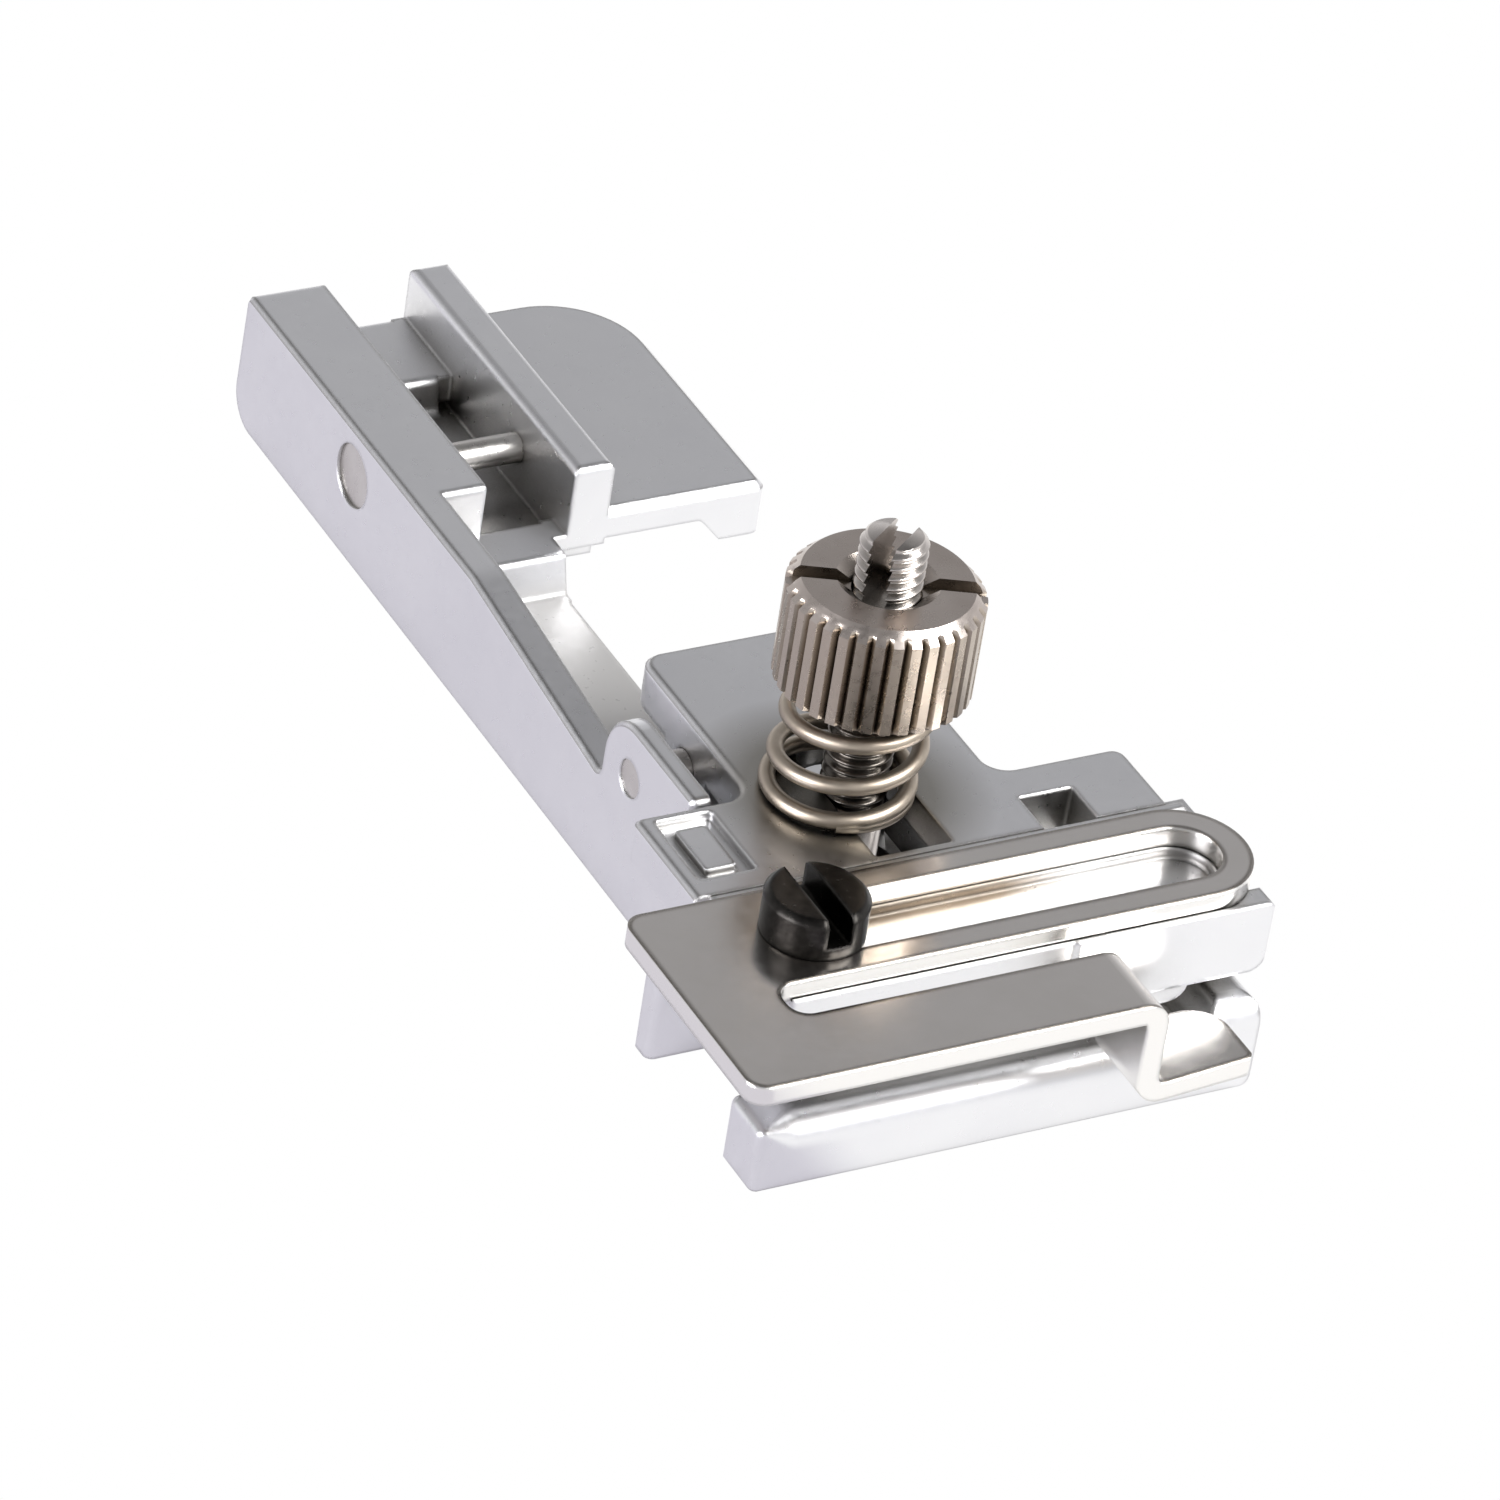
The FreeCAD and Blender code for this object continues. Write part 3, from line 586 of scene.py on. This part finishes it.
def nickel_sheet():
    """Polished plate with a painted reflection: a dark line along its edges."""
    m = metal("nickel_sheet")
    fine = m.noise(1500)
    broad = m.noise(300, roughness=0.6)
    colour = m.paint_edge_reflection(m.grain(broad, SHEET_TONES), SHEET_LINE_EDGE, SHEET_PAINTED_EDGE_LINE)
    # Painted light on the plate's upright faces, then painted closed-in shade
    m.paint_closed_in_shade(m.mix(m.upright(), colour, SHEET_UPRIGHT_PAINTED_LIGHT), SHEET_REACH)
    m.surface(fine, SHEET_ROUGH, bump=0.10, edge=SHEET_EDGE)
    return m.material


def nickel_steel(name, tones, rough, edge=0.0, upright=None, shaded=None, reach=STEEL_REACH):
    m = metal(name)
    fine = m.noise(2200)
    broad = m.noise(500)
    colour = m.grain(broad, tones)
    # Painted shade: a darker tone for upright faces
    if upright is not None:
        colour = m.mix(m.upright(), colour, upright)
    # Painted shade on the stud inside the coil
    if shaded is not None:
        colour = m.mix(m.near(shaded), colour, COIL_PAINTED_SHADE_TONE)
    m.paint_closed_in_shade(colour, reach)
    m.surface(fine, rough, bump=0.08, edge=edge)
    return m.material


def black_oxide():
    m = metal("black_oxide")
    fine = m.noise(2400)
    m.paint_closed_in_shade(m.grain(fine, OXIDE_TONES), STEEL_REACH)
    m.surface(fine, OXIDE_ROUGH, bump=0.10, edge=OXIDE_EDGE)
    return m.material


def floor_paper():
    """White to the camera, a glow with painted reflection tones and painted shade near the metal for glossy
    rays, and plain paper for all other light.
    """
    m = Material("floor_paper")
    m.shader.inputs["Base Color"].default_value = FLOOR_COLOUR
    m.shader.inputs["Roughness"].default_value = FLOOR_ROUGH
    split = m.add("ShaderNodeSeparateXYZ")
    m.link(m.position(), split.inputs["Vector"])
    mirrored = m.add("ShaderNodeEmission")
    m.link(m.ramp(m.fade(split.outputs["X"], *FLOOR_CHANGE), FLOOR_IN_METAL), mirrored.inputs["Color"])
    m.link(m.ramp(m.openness(FLOOR_SHADE_REACH), FLOOR_SHADE), mirrored.inputs["Strength"])
    white = m.add("ShaderNodeEmission")
    white.inputs["Color"].default_value = WHITE
    ray = m.add("ShaderNodeLightPath")
    look = m.mix_shaders(ray.outputs["Is Glossy Ray"], m.shader.outputs["BSDF"], mirrored.outputs["Emission"])
    look = m.mix_shaders(ray.outputs["Is Camera Ray"], look, white.outputs["Emission"])
    m.link(look, m.tree.nodes["Material Output"].inputs["Surface"])
    return m.material


def dress(thing, material):
    """Gives a material to a scene piece, or to a CAD node by its name."""
    piece = frame["nodes"][thing] if isinstance(thing, str) else thing
    piece.data.materials.clear()
    piece.data.materials.append(material)


def add_floor():
    half = FLOOR_HALF
    corners = [(-half, -half, 0), (half, -half, 0), (half, half, 0), (-half, half, 0)]
    floor = add_piece("floor", corners, [(0, 1, 2, 3)])
    floor.location = (0, 0, -FLOOR_DROP)
    floor.visible_shadow = False
    floor.data.materials.append(floor_paper())


def add_light(name, place, size, power, colour):
    data = bpy.data.lights.new(name, "AREA")
    data.shape = "RECTANGLE"
    data.size = size[0]
    data.size_y = size[1]
    data.energy = power
    data.color = colour
    light = bpy.data.objects.new(name, data)
    light.location = place
    aim = Vector(LIGHT_TARGET) - Vector(place)
    light.rotation_euler = aim.to_track_quat("-Z", "Y").to_euler()
    bpy.context.scene.collection.objects.link(light)


def add_world():
    """White to the camera, and for all other rays darker the higher they point."""
    world = bpy.data.worlds.new("studio")
    world.use_nodes = True
    world.node_tree.nodes.clear()
    n = Nodes(world.node_tree)
    split = n.add("ShaderNodeSeparateXYZ")
    n.link(n.add("ShaderNodeTexCoord").outputs["Generated"], split.inputs["Vector"])
    tones = [(height, (level, level, level * ROOM_BLUE, 1)) for height, level in ROOM_LEVELS]
    room = n.add("ShaderNodeBackground")
    n.link(n.ramp(split.outputs["Z"], tones), room.inputs["Color"])
    white = n.add("ShaderNodeBackground")
    white.inputs["Color"].default_value = WHITE
    ray = n.add("ShaderNodeLightPath")
    seen = ray.outputs["Is Camera Ray"]
    look = n.mix_shaders(seen, room.outputs["Background"], white.outputs["Background"])
    n.link(look, n.add("ShaderNodeOutputWorld").inputs["Surface"])
    bpy.context.scene.world = world


casting = plated_casting()
turned_nickel = nickel_steel(
    "turned_nickel",
    tones=((0.50, 0.44, 0.40, 1), (0.57, 0.51, 0.47, 1)),
    rough=(0.24, 0.34),
    # Painted shade: a darker, warmer tone on the nut's upright sides
    upright=(0.46, 0.40, 0.34, 1),
)
thread_nickel = nickel_steel(
    "thread_nickel",
    tones=((0.52, 0.48, 0.45, 1), (0.62, 0.58, 0.55, 1)),
    rough=(0.18, 0.28),
    shaded=COIL_PAINTED_SHADE_PLACE,
)
wire_nickel = nickel_steel(
    "wire_nickel",
    tones=((0.37, 0.315, 0.255, 1), (0.46, 0.40, 0.33, 1)),
    rough=(0.34, 0.44),
    reach=0.0006,
)
pin_steel = nickel_steel(
    "pin_steel",
    tones=((0.60, 0.57, 0.54, 1), (0.72, 0.70, 0.67, 1)),
    rough=(0.25, 0.35),
    edge=0.0001,
)

dress("foot_frame", casting)
dress("pressure_lever", casting)
dress(cast_block("lever_web", LEVER_WEB, "lever"), casting)
dress(cast_block("base_corner", BASE_CORNER, "foot"), casting)
dress("guide_plate", nickel_sheet())
dress("guide_screw", black_oxide())
dress(knurled_nut(), turned_nickel)
dress(threaded_stud(), thread_nickel)
dress(wire_coil(), wire_nickel)
dress("snap_bar", pin_steel)
dress("hinge_pin", pin_steel)

add_camera()
add_world()
add_floor()
add_light("key", **KEY_LIGHT)
add_light("left", **LEFT_LIGHT)
bpy.context.scene.view_settings.view_transform = "Standard"
